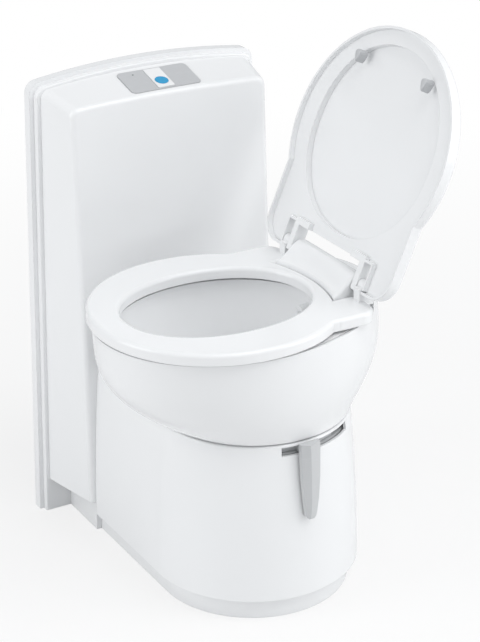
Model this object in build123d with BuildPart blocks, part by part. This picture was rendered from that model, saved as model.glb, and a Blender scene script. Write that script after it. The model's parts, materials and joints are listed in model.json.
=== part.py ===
from build123d import *
import math
import os

os.makedirs("parts", exist_ok=True)

# Frame: millimetres, X to the right across the console, Y to the wall, Z up
# The swivel axis of the bowl is the Z axis and the floor is Z = 0
# The bowl is modelled turned a quarter to the side, seat down and lid up

# Driving sizes of the pedestal
WALL = 4.0
PEDESTAL_TOP = 295.0
PEDESTAL_LOW = 38.0
PEDESTAL_TOP_RADIUS = 152.3
PEDESTAL_LOW_RADIUS = 169.0
PLINTH_RADIUS = 153.5
LIP_INNER_RADIUS = 149.0

# Driving sizes of the console and its wall flange
CONSOLE_LOW = 58.7
CONSOLE_FRONT_LOW_Y = 216.0
CONSOLE_FRONT_TOP_Y = 249.0
CONSOLE_FRONT_TOP = 728.0
CONSOLE_BACK_Y = 328.0
CONSOLE_FRONT_HALF = (175.2, 171.8)
CONSOLE_BACK_HALF = (199.0, 186.0)
CONSOLE_BACK_SIDE_TOP = 736.0
CONSOLE_BACK_CROWN = 748.0
CONSOLE_FRONT_ARCH = 4.0
CONSOLE_CORNER = 16.0
CONSOLE_FRONT_FILLET = 9.0
FLANGE_STEP_Y = 339.0
FLANGE_BACK_Y = 357.0
FLANGE_STEP_HALF = (207.0, 193.0)
FLANGE_HALF = (214.0, 200.0)
FLANGE_CROWN = 760.0
FLANGE_SIDE_TOP = 744.0
STEP_RISE = 6.0
BAY_HALF = 140.0
BAY_LOW = 10.0
BAY_TOP = 250.0
SERVICE_LOW = 300.0
SERVICE_TOP = 700.0
SERVICE_HALF = 150.0

# Fits
FIT = 0.3
RUNNING = 0.05

# Bowl and seat
DECK_HOLE_RADIUS = 108.0
BOWL_LOW = 298.3
BOWL_TOP = 457.0
BOSS_RADIUS = 100.0
BOSS_INNER_RADIUS = 92.0
SEAT_LOW = 462.0
SEAT_TOP = 480.0
HINGE_X = 134.0
HINGE_Z = 500.0
PIN_RADIUS = 4.0
LUG_RADIUS = 9.5
LID_LOW = 489.0
LID_TOP = 511.0
LID_OPEN_ANGLE = 113.0
BLOCK_HALF = 84.0
BLOCK_BACK_X = 152.0
WING_BACK = 130.0

# Waste valve
OUTLET_RADIUS = 38.0
BLADE_RADIUS = 44.0
BLADE_PIVOT = 62.0
PINION_TEETH = 20
SECTOR_TEETH = 61
MODULE = BLADE_PIVOT * 2 / (SECTOR_TEETH - PINION_TEETH)
PINION_PITCH_RADIUS = MODULE * PINION_TEETH / 2
SECTOR_PITCH_RADIUS = MODULE * SECTOR_TEETH / 2
GEAR_LOW = 229.3
GEAR_HIGH = 235.8

# Waste tank
TANK_HALF = 128.0
TANK_FRONT_RADIUS = 146.0
TANK_BACK_Y = 318.0
TANK_LOW = 14.3
TANK_TOP = 206.0
TANK_WALL = 3.0
TANK_STEP_Y = 232.0
TANK_STEP_TOP = 160.0
SPOUT_X = -85.0
SPOUT_Y = 275.0


def egg_points(front, rear, half_width, widest, power=2.0, count=40):
    """Points of an egg outline: front and rear reach along X, widest at one X."""
    points = []
    for step in range(count):
        turn = 2 * math.pi * step / count
        along = math.copysign(abs(math.cos(turn)) ** (2 / power), math.cos(turn))
        across = math.copysign(abs(math.sin(turn)) ** (2 / power), math.sin(turn))
        reach = rear - widest if along > 0 else front + widest
        points.append((widest + reach * along, half_width * across))
    return points


def egg_face(height, front, rear, half_width, widest, power=2.0):
    """The egg outline as a flat face at a height."""
    with BuildSketch(Plane.XY.offset(height)) as face:
        with BuildLine():
            Spline(*egg_points(front, rear, half_width, widest, power), periodic=True)
        make_face()
    return face.sketch


def dee_face(height, radius, back):
    """A half round front joined to straight sides that run back to Y = back."""
    with BuildSketch(Plane.XY.offset(height)) as face:
        with BuildLine():
            CenterArc((0, 0), radius, 180, 180)
            Line((radius, 0), (radius, back))
            Line((radius, back), (-radius, back))
            Line((-radius, back), (-radius, 0))
        make_face()
    return face.sketch


def ring_part(height, inner, outer, start, end):
    """Part of a flat ring about Z; angles run from the front (-Y) towards +X."""
    with BuildSketch(Plane.XY.offset(height)) as face:
        with BuildLine():
            first = CenterArc((0, 0), outer, start - 90, end - start)
            second = CenterArc((0, 0), inner, start - 90, end - start)
            Line(first @ 0, second @ 0)
            Line(first @ 1, second @ 1)
        make_face()
    return face.sketch


def arch_face(plane, low, half_low, half_top, side_top, crown, corner):
    """An upright panel outline with leaning sides and an arched top edge."""
    with BuildSketch(plane) as face:
        with BuildLine():
            Line((half_top, side_top), (half_low, low))
            Line((half_low, low), (-half_low, low))
            Line((-half_low, low), (-half_top, side_top))
            ThreePointArc((-half_top, side_top), (0, crown), (half_top, side_top))
        make_face()
        fillet(face.vertices().group_by(Axis.Y)[-1], radius=corner)
    return face.sketch


# The console front leans back a little, so its outline lies on a tilted plane
FRONT_LEAN = math.atan2(
    CONSOLE_FRONT_TOP_Y - CONSOLE_FRONT_LOW_Y, CONSOLE_FRONT_TOP - CONSOLE_LOW
)
FRONT_PLANE = Plane(
    origin=(0, CONSOLE_FRONT_LOW_Y, CONSOLE_LOW),
    x_dir=(1, 0, 0),
    z_dir=(0, -math.cos(FRONT_LEAN), math.sin(FRONT_LEAN)),
)
FRONT_TALL = (CONSOLE_FRONT_TOP - CONSOLE_LOW) / math.cos(FRONT_LEAN)


def wall_plane(back_y):
    """An upright plane across the console, its own Y being the height."""
    return Plane(origin=(0, back_y, 0), x_dir=(1, 0, 0), z_dir=(0, -1, 0))


def upright_box(x_span, y_span, z_span):
    """A plain box between two limits along each axis."""
    size = [high - low for low, high in (x_span, y_span, z_span)]
    middle = [(high + low) / 2 for low, high in (x_span, y_span, z_span)]
    return Pos(*middle) * Box(*size, mode=Mode.PRIVATE)


def rod(start, direction, radius, length):
    """A round bar from a start point along a direction."""
    return Solid.make_cylinder(radius, length, Plane(origin=start, z_dir=direction))


def finish(builder, name):
    """Names a finished piece and writes it."""
    builder.part.label = name
    export_step(builder.part, "parts/" + name + ".step")


# Pedestal shell: half round housing that carries the bowl and hides the tank
PEDESTAL_LEVELS = (PEDESTAL_LOW, 100.0, 200.0, PEDESTAL_TOP)
PEDESTAL_RADII = (PEDESTAL_LOW_RADIUS, 166.8, 161.0, PEDESTAL_TOP_RADIUS)
PEDESTAL_REACH = 260.0
LEVER_SLOT = (-14.0, 37.5)
LEVER_SLOT_LOW = 277.0
DECK_LOW = PEDESTAL_TOP - WALL
outer_dees = [
    dee_face(level, radius, PEDESTAL_REACH)
    for level, radius in zip(PEDESTAL_LEVELS, PEDESTAL_RADII)
]
inner_dees = [
    dee_face(level, radius - WALL, PEDESTAL_REACH + 1)
    for level, radius in zip(
        (PEDESTAL_LOW + WALL, 100.0, 200.0, DECK_LOW), (164.6, 166.8, 161.0, 152.7)
    )
]
with BuildPart() as pedestal_shell:
    loft(sections=outer_dees)
    loft(sections=inner_dees, mode=Mode.SUBTRACT)
    extrude(
        dee_face(PEDESTAL_LOW, LIP_INNER_RADIUS, PEDESTAL_REACH + 1),
        amount=WALL,
        mode=Mode.SUBTRACT,
    )
    with BuildSketch(Plane.XY.offset(DECK_LOW)):
        Circle(DECK_HOLE_RADIUS)
    extrude(amount=WALL, mode=Mode.SUBTRACT)
    extrude(
        ring_part(LEVER_SLOT_LOW, 143.0, 165.0, *LEVER_SLOT),
        amount=DECK_LOW - LEVER_SLOT_LOW,
        mode=Mode.SUBTRACT,
    )
    split(bisect_by=FRONT_PLANE, keep=Keep.TOP)
    top_edges = pedestal_shell.edges().filter_by_position(Axis.Z, PEDESTAL_TOP - 0.1, PEDESTAL_TOP + 0.1)
    fillet(
        [edge for edge in top_edges if edge.bounding_box().min.Y < -PEDESTAL_TOP_RADIUS + 1],
        radius=3.0,
    )
finish(pedestal_shell, "pedestal_shell")

# Base plinth: recessed foot that is screwed to the floor under the shell
PLINTH_BACK_Y = 229.0
FLOOR_HOLE_X = 125.0
FLOOR_HOLE_Y = 60.0
FLOOR_HOLE_RADIUS = 3.0
TAB_WIDE = 26.0
TAB_EDGE = 10.0
with BuildPart() as base_plinth:
    extrude(dee_face(0, PLINTH_RADIUS, PLINTH_BACK_Y), amount=PEDESTAL_LOW)
    extrude(
        dee_face(0, PLINTH_RADIUS - WALL, PLINTH_BACK_Y + 1),
        amount=PEDESTAL_LOW,
        mode=Mode.SUBTRACT,
    )
    with BuildSketch():
        with GridLocations(0, 2 * FLOOR_HOLE_Y, 1, 2):
            Rectangle(2 * PLINTH_RADIUS, TAB_WIDE)
            Rectangle(2 * (FLOOR_HOLE_X - TAB_EDGE), TAB_WIDE, mode=Mode.SUBTRACT)
        add(dee_face(0, PLINTH_RADIUS - 1, PLINTH_BACK_Y), mode=Mode.INTERSECT)
    extrude(amount=WALL)
    with BuildSketch():
        with GridLocations(2 * FLOOR_HOLE_X, 2 * FLOOR_HOLE_Y, 2, 2):
            Circle(FLOOR_HOLE_RADIUS)
    extrude(amount=WALL, mode=Mode.SUBTRACT)
finish(base_plinth, "base_plinth")

# Console plinth: recessed foot under the console, in two side walls
CONSOLE_PLINTH_HALF = 162.0
with BuildPart() as console_plinth:
    for side in (-1, 1):
        with BuildSketch():
            with BuildLine():
                Polyline(
                    (side * PLINTH_RADIUS, PLINTH_BACK_Y),
                    (side * CONSOLE_PLINTH_HALF, PLINTH_BACK_Y),
                    (side * CONSOLE_PLINTH_HALF, CONSOLE_BACK_Y),
                    (side * (CONSOLE_PLINTH_HALF - WALL), CONSOLE_BACK_Y),
                    (side * (CONSOLE_PLINTH_HALF - WALL), PLINTH_BACK_Y + WALL),
                    (side * (PLINTH_RADIUS - WALL), PLINTH_BACK_Y + WALL),
                    (side * (PLINTH_RADIUS - WALL), PLINTH_BACK_Y),
                    close=True,
                )
            make_face()
        extrude(amount=CONSOLE_LOW)
finish(console_plinth, "console_plinth")

# Console casing: the tall hollow box behind the bowl, open below and behind
SLOPE = math.atan2(20.0, CONSOLE_BACK_Y - CONSOLE_FRONT_TOP_Y)
PANEL_LENGTH = 122.0
PANEL_DEPTH = 62.0
PANEL_Y = 288.0
PANEL_Z = CONSOLE_FRONT_TOP + math.tan(SLOPE) * (PANEL_Y - CONSOLE_FRONT_TOP_Y)
PANEL_PLANE = Plane(
    origin=(0, PANEL_Y, PANEL_Z),
    x_dir=(1, 0, 0),
    z_dir=(0, -math.sin(SLOPE), math.cos(SLOPE)),
)
with BuildPart() as console_casing:
    loft(
        sections=[
            arch_face(
                FRONT_PLANE,
                0,
                *CONSOLE_FRONT_HALF,
                FRONT_TALL - CONSOLE_FRONT_ARCH,
                FRONT_TALL,
                CONSOLE_CORNER,
            ),
            arch_face(
                wall_plane(CONSOLE_BACK_Y),
                CONSOLE_LOW,
                *CONSOLE_BACK_HALF,
                CONSOLE_BACK_SIDE_TOP,
                CONSOLE_BACK_CROWN,
                CONSOLE_CORNER,
            ),
        ]
    )
    front_edges = console_casing.faces().sort_by(Axis.Y)[0].edges()
    fillet(front_edges.sort_by(Axis.Z)[1:], radius=CONSOLE_FRONT_FILLET)
    loft(
        sections=[
            arch_face(
                FRONT_PLANE.offset(-WALL),
                -5,
                CONSOLE_FRONT_HALF[0] - WALL + 0.9,
                CONSOLE_FRONT_HALF[1] - WALL + 0.5,
                FRONT_TALL - CONSOLE_FRONT_ARCH - WALL,
                FRONT_TALL - WALL,
                CONSOLE_CORNER - WALL,
            ),
            arch_face(
                wall_plane(CONSOLE_BACK_Y),
                CONSOLE_LOW - 5,
                CONSOLE_BACK_HALF[0] - WALL,
                CONSOLE_BACK_HALF[1] - WALL,
                CONSOLE_BACK_SIDE_TOP - WALL,
                CONSOLE_BACK_CROWN - WALL,
                CONSOLE_CORNER - WALL,
            ),
        ],
        mode=Mode.SUBTRACT,
    )
    add(
        upright_box((-BAY_HALF, BAY_HALF), (200, 250), (CONSOLE_LOW - 5, 286)),
        mode=Mode.SUBTRACT,
    )
    with BuildSketch(PANEL_PLANE.offset(-20)):
        RectangleRounded(PANEL_LENGTH + 2 * FIT, PANEL_DEPTH + 2 * FIT, 8.0 + FIT)
    extrude(amount=40, mode=Mode.SUBTRACT)
finish(console_casing, "console_casing")

# Rear flange: stepped frame that is screwed to the wall and frames the tank door
FLANGE_ROUND = 2.5
WALL_HOLE_RADIUS = 2.75
WALL_HOLE_HALF = 172.0
WALL_HOLE_Z = (120.0, 400.0, 680.0)
INLET_X = -100.0
INLET_Z = 275.0
INLET_RADIUS = 6.0
with BuildPart() as rear_flange:
    extrude(
        arch_face(
            wall_plane(FLANGE_BACK_Y), 0, *FLANGE_HALF, FLANGE_SIDE_TOP, FLANGE_CROWN, 20.0
        ),
        amount=FLANGE_BACK_Y - FLANGE_STEP_Y,
    )
    extrude(
        arch_face(
            wall_plane(FLANGE_STEP_Y),
            0,
            *FLANGE_STEP_HALF,
            FLANGE_SIDE_TOP - STEP_RISE,
            FLANGE_CROWN - STEP_RISE,
            18.0,
        ),
        amount=FLANGE_STEP_Y - CONSOLE_BACK_Y,
    )
    front_face = rear_flange.faces().sort_by(Axis.Y)[0]
    fillet(front_face.outer_wire().edges().sort_by(Axis.Z)[1:], radius=FLANGE_ROUND)
    add(
        upright_box((-BAY_HALF, BAY_HALF), (300, 360), (BAY_LOW, BAY_TOP)),
        mode=Mode.SUBTRACT,
    )
    add(
        upright_box((-SERVICE_HALF, SERVICE_HALF), (300, 360), (SERVICE_LOW, SERVICE_TOP)),
        mode=Mode.SUBTRACT,
    )
    for side in (-1, 1):
        for height in WALL_HOLE_Z:
            add(
                rod((side * WALL_HOLE_HALF, 300, height), (0, 1, 0), WALL_HOLE_RADIUS, 80),
                mode=Mode.SUBTRACT,
            )
    add(rod((INLET_X, 300, INLET_Z), (0, 1, 0), INLET_RADIUS, 80), mode=Mode.SUBTRACT)
finish(rear_flange, "rear_flange")

# Control panel: grey plate let into the console top, with a bay for the button
PANEL_PROUD = 0.8
PANEL_THICK = 6.0
BUTTON_WIDE = 29.0
BUTTON_LONG = 56.0
BUTTON_THICK = 3.2
BUTTON_TRAVEL = 2.0
BUTTON_PROUD = 1.2
BUTTON_BAY_DEEP = BUTTON_THICK - BUTTON_PROUD + BUTTON_TRAVEL + 0.2
DISC_RADIUS = 11.0
DISC_OFFSET = -9.0
DISC_DEEP = 0.8
LAMP_RADIUS = 1.6
LAMP_AT = (-36.0, 20.0)
STEM_RADIUS = 3.0
with BuildPart() as control_panel:
    with BuildSketch(PANEL_PLANE.offset(PANEL_PROUD)):
        RectangleRounded(PANEL_LENGTH, PANEL_DEPTH, 8.0)
    extrude(amount=-PANEL_THICK)
    with BuildSketch(PANEL_PLANE.offset(PANEL_PROUD)):
        RectangleRounded(BUTTON_WIDE + 2 * FIT, BUTTON_LONG + 2 * FIT, 2.0)
    extrude(amount=-BUTTON_BAY_DEEP, mode=Mode.SUBTRACT)
    with BuildSketch(PANEL_PLANE.offset(PANEL_PROUD)):
        Circle(STEM_RADIUS + FIT)
    extrude(amount=-PANEL_THICK, mode=Mode.SUBTRACT)
    with BuildSketch(PANEL_PLANE.offset(PANEL_PROUD)):
        with Locations(LAMP_AT):
            Circle(LAMP_RADIUS)
    extrude(amount=-2.0, mode=Mode.SUBTRACT)
finish(control_panel, "control_panel")

with BuildPart() as level_lamp:
    with BuildSketch(PANEL_PLANE.offset(PANEL_PROUD - 2.0)):
        with Locations(LAMP_AT):
            Circle(LAMP_RADIUS)
    extrude(amount=2.3)
finish(level_lamp, "level_lamp")

# Flush button: white rocker strip with a round coloured inlay, pressed downwards
with BuildPart() as flush_button:
    with BuildSketch(PANEL_PLANE.offset(PANEL_PROUD + BUTTON_PROUD)):
        RectangleRounded(BUTTON_WIDE, BUTTON_LONG, 1.8)
    extrude(amount=-BUTTON_THICK)
    with BuildSketch(PANEL_PLANE.offset(PANEL_PROUD + BUTTON_PROUD - BUTTON_THICK)):
        Circle(STEM_RADIUS)
    extrude(amount=-4.0)
    with BuildSketch(PANEL_PLANE.offset(PANEL_PROUD + BUTTON_PROUD)):
        with Locations((0, DISC_OFFSET)):
            Circle(DISC_RADIUS)
    extrude(amount=-DISC_DEEP, mode=Mode.SUBTRACT)
finish(flush_button, "flush_button")

with BuildPart() as button_disc:
    with BuildSketch(PANEL_PLANE.offset(PANEL_PROUD + BUTTON_PROUD - DISC_DEEP)):
        with Locations((0, DISC_OFFSET)):
            Circle(DISC_RADIUS)
    extrude(amount=DISC_DEEP + 0.2)
finish(button_disc, "button_disc")

# Control board: circuit board on four posts under the panel
BOARD_DROP = 12.0
with BuildPart() as control_board:
    with BuildSketch(PANEL_PLANE.offset(PANEL_PROUD - PANEL_THICK - BOARD_DROP)):
        Rectangle(104.0, 44.0)
    extrude(amount=-1.6)
    with BuildSketch(PANEL_PLANE.offset(PANEL_PROUD - PANEL_THICK - BOARD_DROP)):
        with GridLocations(92.0, 34.0, 2, 2):
            Circle(3.0)
    extrude(amount=BOARD_DROP)
    with BuildSketch(PANEL_PLANE.offset(PANEL_PROUD - PANEL_THICK - BOARD_DROP)):
        Rectangle(8.0, 8.0)
        with Locations((30.0, 0.0)):
            Rectangle(14.0, 20.0)
    extrude(amount=4.0)
finish(control_board, "control_board")

# Flush valve: electric water valve on the crossbar of the flange
VALVE_FRONT_Y = 288.0
with BuildPart() as flush_valve:
    add(upright_box((-118, -62), (VALVE_FRONT_Y, CONSOLE_BACK_Y), (258, 292)))
    add(rod((-90, 306, 292), (0, 0, 1), 14.0, 30.0))
    add(rod((-72, VALVE_FRONT_Y, 275), (0, -1, 0), 5.0, 14.0))
    add(rod((INLET_X, 300, INLET_Z), (0, 1, 0), INLET_RADIUS, 30), mode=Mode.SUBTRACT)
finish(flush_valve, "flush_valve")

# Water inlet: hose tail that comes out behind the flange
INLET_END_Y = 383.0
with BuildPart() as water_inlet:
    add(rod((INLET_X, 300, INLET_Z), (0, 1, 0), INLET_RADIUS, INLET_END_Y - 300))
    add(rod((INLET_X, FLANGE_BACK_Y, INLET_Z), (0, 1, 0), 11.0, 4.0))
    add(rod((INLET_X, 330, INLET_Z), (0, 1, 0), 3.5, 60), mode=Mode.SUBTRACT)
finish(water_inlet, "water_inlet")

# Flush hose and the union under the deck that passes the water to the bowl
UNION_Y = (92.0, 112.0)
with BuildPart() as water_union:
    add(upright_box((-92, -70), UNION_Y, (262, DECK_LOW)))
    add(rod((-72 - 9, UNION_Y[1], 275), (0, 1, 0), 5.0, 14.0))
finish(water_union, "water_union")

with BuildPart() as flush_hose:
    with BuildLine():
        Spline(
            (-72, VALVE_FRONT_Y, 275),
            (-72, VALVE_FRONT_Y - 30, 275),
            (-81, UNION_Y[1] + 30, 275),
            (-81, UNION_Y[1], 275),
            tangents=((0, -1, 0), (0, -1, 0)),
        )
    with BuildSketch(Plane(origin=(-72, VALVE_FRONT_Y, 275), z_dir=(0, -1, 0))):
        Circle(7.0)
        Circle(5.0, mode=Mode.SUBTRACT)
    sweep()
finish(flush_hose, "flush_hose")

# Swivel ring: fixed slide bearing in the deck that guides the turning bowl
SWIVEL_LOW = DECK_LOW - 3.0
SWIVEL_FLANGE_RADIUS = BOSS_RADIUS + 24.0
with BuildPart() as swivel_ring:
    with BuildSketch(Plane.XY.offset(SWIVEL_LOW)):
        Circle(DECK_HOLE_RADIUS - FIT)
        Circle(BOSS_RADIUS + FIT, mode=Mode.SUBTRACT)
    extrude(amount=PEDESTAL_TOP - SWIVEL_LOW)
    with BuildSketch(Plane.XY.offset(PEDESTAL_TOP)):
        Circle(SWIVEL_FLANGE_RADIUS)
        Circle(BOSS_RADIUS + FIT, mode=Mode.SUBTRACT)
    extrude(amount=BOWL_LOW - FIT - PEDESTAL_TOP)
finish(swivel_ring, "swivel_ring")

# Bowl shell: the outer skin of the bowl with its turning boss
BOWL_LEVELS = (BOWL_LOW, 315.0, 340.0, 375.0, 415.0, BOWL_TOP)
BOWL_FRONT = (152.0, 180.0, 212.0, 240.0, 251.0, 255.0)
BOWL_REAR = (152.0, 164.0, 181.0, 198.0, 204.5, 201.0)
BOWL_HALF = (152.0, 156.5, 165.0, 173.0, 177.5, 180.0)
BOWL_WIDEST = (0.0, -10.0, -20.0, -30.0, -42.0, -54.0)
bowl_sizes = list(zip(BOWL_LEVELS, BOWL_FRONT, BOWL_REAR, BOWL_HALF, BOWL_WIDEST))
outer_eggs = [egg_face(*size) for size in bowl_sizes]
inner_eggs = [
    egg_face(max(level, BOWL_LOW + WALL), front - WALL, rear - WALL, half - WALL, widest)
    for level, front, rear, half, widest in bowl_sizes
]
RIM_GAP = 2.6
RIM_FRONT = BOWL_FRONT[-1] - WALL - RIM_GAP
RIM_REAR = BOWL_REAR[-1] - WALL - RIM_GAP
RIM_HALF = BOWL_HALF[-1] - WALL - RIM_GAP
RETAINER_LOW = 283.7
RETAINER_THICK = 4.0
SHOULDER_TOP = SEAT_TOP - 2.0
SHOULDER_ROUND = 6.0
SHOULDER_FRONT_X = HINGE_X + LUG_RADIUS + 1.5


def shoulder_plan(height, inset):
    """Plan of the raised rear shoulder: the egg's end behind the seat, round the hinge block."""
    with BuildSketch(Plane.XY.offset(height)) as face:
        add(
            egg_face(
                height,
                BOWL_FRONT[-1] - inset,
                BOWL_REAR[-1] - inset,
                BOWL_HALF[-1] - inset,
                BOWL_WIDEST[-1],
            )
        )
        with Locations((SHOULDER_FRONT_X + inset, 0)):
            Rectangle(200, 600, align=(Align.MIN, Align.CENTER), mode=Mode.INTERSECT)
        with Locations((BLOCK_BACK_X + FIT + inset, 0)):
            Rectangle(
                200,
                2 * (BLOCK_HALF + FIT + inset),
                align=(Align.MAX, Align.CENTER),
                mode=Mode.SUBTRACT,
            )
    return face.sketch


with BuildPart() as bowl_shell:
    loft(sections=outer_eggs)
    loft(sections=inner_eggs, mode=Mode.SUBTRACT)
    with BuildSketch(Plane.XY.offset(RETAINER_LOW + RETAINER_THICK)):
        Circle(BOSS_RADIUS)
    extrude(amount=BOWL_LOW + WALL - RETAINER_LOW - RETAINER_THICK)
    with BuildSketch(Plane.XY.offset(RETAINER_LOW)):
        Circle(BOSS_INNER_RADIUS)
    extrude(amount=30, mode=Mode.SUBTRACT)
    extrude(shoulder_plan(BOWL_TOP, 0.0), amount=SHOULDER_TOP - BOWL_TOP)
    crown = bowl_shell.faces().filter_by(Axis.Z).sort_by(Axis.Z)[-1]
    rear_rims = crown.edges().sort_by(Axis.X)[-1:]
    fillet(rear_rims, radius=SHOULDER_ROUND)
    extrude(
        shoulder_plan(BOWL_TOP - WALL, WALL),
        amount=SHOULDER_TOP - BOWL_TOP,
        mode=Mode.SUBTRACT,
    )
finish(bowl_shell, "bowl_shell")

# Bowl retainer: ring under the deck that stops the bowl from lifting out
with BuildPart() as bowl_retainer:
    with BuildSketch(Plane.XY.offset(RETAINER_LOW)):
        Circle(112.0)
        Circle(BOSS_INNER_RADIUS - 2, mode=Mode.SUBTRACT)
    extrude(amount=RETAINER_THICK)
finish(bowl_retainer, "bowl_retainer")

# Bowl basin: smooth funnel with a flat rim, hung in the shell
BASIN_LEVELS = (237.0, 270.0, 300.0, 340.0, 400.0, BOWL_TOP)
BASIN_CENTRE = (0.0, 0.0, -12.0, -38.0, -55.0, -60.0)
BASIN_LONG = (36.0, 40.0, 68.0, 110.0, 146.0, 158.0)
BASIN_WIDE = (36.0, 40.0, 66.0, 94.0, 115.0, 122.0)
NOZZLE_Z = 430.0
NOZZLE_RADIUS = 9.0
BOLT_RADIUS = 3.0
BOLT_AT = ((132.0, 45.0), (132.0, -45.0))
basin_sizes = list(zip(BASIN_LEVELS, BASIN_CENTRE, BASIN_LONG, BASIN_WIDE))


def basin_faces(grow):
    """Flat sections of the basin, each grown by the same amount."""
    return [
        egg_face(level, long + grow - centre, centre + long + grow, wide + grow, centre)
        for level, centre, long, wide in basin_sizes
    ]


with BuildPart() as bowl_basin:
    loft(sections=basin_faces(3.5))
    extrude(
        egg_face(BOWL_TOP - WALL, RIM_FRONT, RIM_REAR, RIM_HALF, BOWL_WIDEST[-1]),
        amount=WALL,
    )
    loft(sections=basin_faces(0.0), mode=Mode.SUBTRACT)
    add(
        rod((60, 0, NOZZLE_Z), (1, 0, 0), NOZZLE_RADIUS, 60),
        mode=Mode.SUBTRACT,
    )
    for bolt_x, bolt_y in BOLT_AT:
        add(
            rod((bolt_x, bolt_y, BOWL_TOP - 10), (0, 0, 1), BOLT_RADIUS, 20),
            mode=Mode.SUBTRACT,
        )
finish(bowl_basin, "bowl_basin")

# Flush nozzle: round outlet at the hinge end of the basin
with BuildPart() as flush_nozzle:
    add(rod((84, 0, NOZZLE_Z), (1, 0, 0), NOZZLE_RADIUS, 28))
    add(rod((108, 0, NOZZLE_Z), (1, 0, 0), 12.0, 10))
    add(upright_box((82, 96), (-12, 12), (NOZZLE_Z - 5, NOZZLE_Z + 1)), mode=Mode.SUBTRACT)
finish(flush_nozzle, "flush_nozzle")

# Hinge block: raised cover on the rim that holds both hinge pins
SEAT_ARC_CENTRE = -142.0
SEAT_ARC_RADIUS = 248.0
with BuildPart() as hinge_block:
    with BuildSketch(Plane.XZ):
        with BuildLine():
            Polyline(
                (85, BOWL_TOP),
                (85, 484),
                (104, 486.5),
                (126, 507.5),
                (134, 511),
                (146, 508),
                (BLOCK_BACK_X, 498),
                (BLOCK_BACK_X, BOWL_TOP),
                close=True,
            )
        make_face()
    extrude(amount=BLOCK_HALF, both=True)
    with BuildSketch(Plane.XY.offset(BOWL_TOP - 1)):
        with Locations((SEAT_ARC_CENTRE, 0)):
            Circle(SEAT_ARC_RADIUS + 0.9)
    extrude(amount=60, mode=Mode.SUBTRACT)
    for side in (-1, 1):
        add(
            rod((HINGE_X, side * 64, HINGE_Z), (0, side, 0), PIN_RADIUS, 30),
            mode=Mode.SUBTRACT,
        )
    for bolt_x, bolt_y in BOLT_AT:
        add(
            rod((bolt_x, bolt_y, BOWL_TOP - 1), (0, 0, 1), BOLT_RADIUS, 19.0),
            mode=Mode.SUBTRACT,
        )
finish(hinge_block, "hinge_block")

with BuildPart() as hinge_bolts:
    for bolt_x, bolt_y in BOLT_AT:
        add(rod((bolt_x, bolt_y, BOWL_TOP - WALL), (0, 0, 1), BOLT_RADIUS, 21.0))
        add(rod((bolt_x, bolt_y, BOWL_TOP - WALL - 4.0), (0, 0, 1), 6.0, 4.0))
finish(hinge_bolts, "hinge_bolts")

with BuildPart() as hinge_pins:
    for side in (-1, 1):
        add(rod((HINGE_X, side * 64, HINGE_Z), (0, side, 0), PIN_RADIUS, 49.5))
finish(hinge_pins, "hinge_pins")

# Seat ring: open oval with two rear wings and two hinge lugs
SEAT_LUG = (98.3, 113.7)
SEAT_ROUND = 6.0
WING_HALF = 153.0
with BuildPart() as seat_ring:
    with BuildSketch(Plane.XY.offset(SEAT_LOW)) as seat_plan:
        with BuildLine():
            Spline(*egg_points(258, 126, 187, -66, 2.05), periodic=True)
        make_face()
        with Locations(((36 + WING_BACK) / 2, 0)):
            RectangleRounded(WING_BACK - 36, 2 * WING_HALF, 28.0)
        with Locations((40, 0)):
            Rectangle(60, 2 * WING_HALF - 1)
    extrude(amount=SEAT_TOP - SEAT_LOW)
    with BuildSketch(Plane.XY.offset(SEAT_LOW)) as back_cut:
        with Locations((WING_BACK, 0)):
            Rectangle(120, 2 * BLOCK_HALF + 3.4)
        with Locations((SEAT_ARC_CENTRE, 0)):
            Circle(SEAT_ARC_RADIUS, mode=Mode.SUBTRACT)
    extrude(amount=SEAT_TOP - SEAT_LOW, mode=Mode.SUBTRACT)
    extrude(
        egg_face(SEAT_LOW, 213, 89, 115, -62, 2.1),
        amount=SEAT_TOP - SEAT_LOW,
        mode=Mode.SUBTRACT,
    )
    fillet(seat_ring.edges().group_by(Axis.Z)[-1], radius=SEAT_ROUND)
    for side in (-1, 1):
        low = min(side * SEAT_LUG[0], side * SEAT_LUG[1])
        add(
            rod((HINGE_X, low, HINGE_Z), (0, 1, 0), LUG_RADIUS, SEAT_LUG[1] - SEAT_LUG[0])
        )
        add(
            upright_box(
                (118, HINGE_X + LUG_RADIUS),
                (low, low + SEAT_LUG[1] - SEAT_LUG[0]),
                (SEAT_TOP - 8, HINGE_Z),
            )
        )
    add(rod((HINGE_X, -150, HINGE_Z), (0, 1, 0), PIN_RADIUS + RUNNING, 300), mode=Mode.SUBTRACT)
finish(seat_ring, "seat_ring")

BUMPERS_AT = ((-205, 88), (-205, -88), (60, 128), (60, -128))
with BuildPart() as seat_bumpers:
    for at in BUMPERS_AT:
        with BuildSketch(Plane.XY.offset(BOWL_TOP + FIT)):
            with Locations(at):
                Circle(8.0)
        extrude(amount=SEAT_LOW - BOWL_TOP - FIT)
finish(seat_bumpers, "seat_bumpers")

# Lid: shallow cap drawn closed, then swung open about the hinge line
LID_CENTRE = -61.0
LID_LONG = 179.0
LID_WIDE = 192.0
LID_BLOCK_HALF = 172.0
LID_BACK = 146.0
LID_NOTCH_X = 103.0
LID_LUG = (85.7, 97.5)
SLOT_FIT = 0.6
LID_SKIRT = 8.0


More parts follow.
